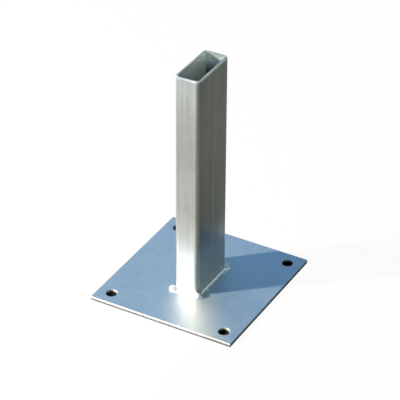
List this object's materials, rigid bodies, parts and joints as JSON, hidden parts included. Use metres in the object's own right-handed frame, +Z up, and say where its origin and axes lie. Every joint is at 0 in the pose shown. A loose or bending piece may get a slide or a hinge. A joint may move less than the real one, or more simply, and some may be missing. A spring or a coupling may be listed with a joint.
{
  "type": "base plate socket",
  "caption": "Flat base plate with a bolt hole near each corner and an upright rectangular tube welded on at its middle, which holds the foot of a rectangular sign post.",
  "frame": {"origin": "middle of the plate's underside, on the surface that the plate stands on", "axes": "+Z up along the tube, +X along the tube's long side and the plate's length, +Y along the tube's short side and the plate's width"},
  "size_m": [0.2, 0.193, 0.304],
  "materials": {
    "plate_zinc": "bright zinc on rolled plate, satin",
    "tube_zinc": "bright zinc on drawn tube, satin with fine lengthwise lines",
    "weld_zinc": "bright zinc on a rippled weld bead"
  },
  "bodies": {
    "root": {"base_plate": "plate_zinc", "socket_tube": "tube_zinc", "weld_front": "weld_zinc", "weld_back": "weld_zinc", "weld_left": "weld_zinc", "weld_right": "weld_zinc"}
  },
  "joints": []
}
